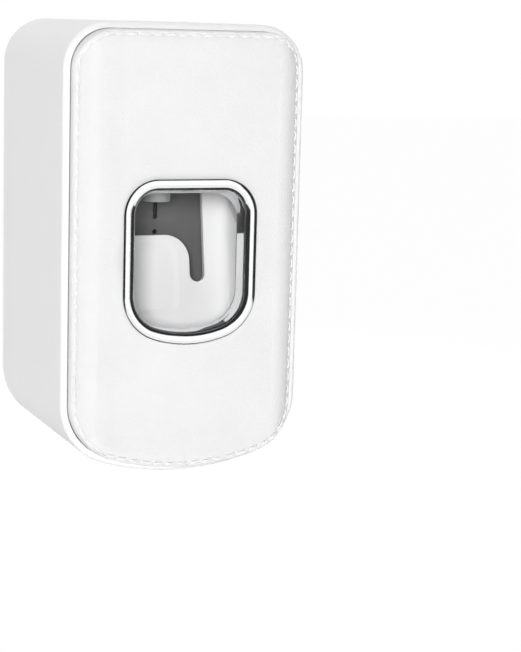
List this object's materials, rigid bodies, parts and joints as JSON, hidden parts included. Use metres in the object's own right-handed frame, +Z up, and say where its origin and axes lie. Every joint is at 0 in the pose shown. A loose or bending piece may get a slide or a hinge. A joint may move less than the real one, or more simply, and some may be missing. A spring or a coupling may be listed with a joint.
{
  "type": "toothpaste dispenser",
  "caption": "Wall-hung toothpaste dispenser: white case with a padded stitched front, bright-ringed window, rocking squeeze lever, tube seat in the top and brush slots below",
  "frame": {"origin": "middle of the face of the adhesive pad that sticks to the wall", "axes": "+X to the right seen from the front, +Y into the wall, +Z up"},
  "size_m": [0.084, 0.0835, 0.15],
  "materials": {
    "white_gloss": "moulded, glossy",
    "white_matte": "moulded, satin",
    "skin": "fine grain, satin",
    "bright_chrome": "mirror plated",
    "charcoal": "moulded, matt",
    "light_grey": "moulded, satin",
    "silicone": "soft, matt",
    "steel": "plain",
    "foam": "open cell",
    "adhesive": "foam tape"
  },
  "bodies": {
    "wall_mount": {"adhesive_pad": "adhesive", "wall_plate": "white_matte"},
    "housing": {"housing_shell": "white_gloss", "rear_cover": "white_matte", "rear_cover_screws": "steel", "brush_rack": "white_gloss", "housing_magnets": "steel", "inlet_collar": "white_gloss", "tube_sleeve": "silicone", "chassis": "charcoal", "chassis_screws": "steel", "inlet_valve": "silicone", "pump_bulb": "silicone", "nozzle": "light_grey", "outlet_valve": "silicone", "hinge_pins": "steel", "return_spring": "steel"},
    "lever": {"lever": "white_gloss"},
    "front_cover": {"cover_carrier": "white_matte", "foam_pad": "foam", "leather_skin": "skin", "window_bezel": "bright_chrome", "bezel_retainer": "light_grey", "cover_magnets": "steel"}
  },
  "joints": [
    {"name": "housing_lift", "type": "slide", "parent": "wall_mount", "child": "housing", "axis": [0, 0, 1], "range_m": [0, 0.01]},
    {"name": "lever_press", "type": "hinge", "parent": "housing", "child": "lever", "pos_m": [0, -0.037, 0.026], "axis": [1, 0, 0], "range_deg": [0, 12], "stiffness_Nm_per_rad": 0.5, "springref_deg": -14.32, "deforming": ["return_spring", "pump_bulb"]},
    {"name": "cover_pull", "type": "slide", "parent": "housing", "child": "front_cover", "axis": [0, -1, 0], "range_m": [0, 0.04]}
  ]
}
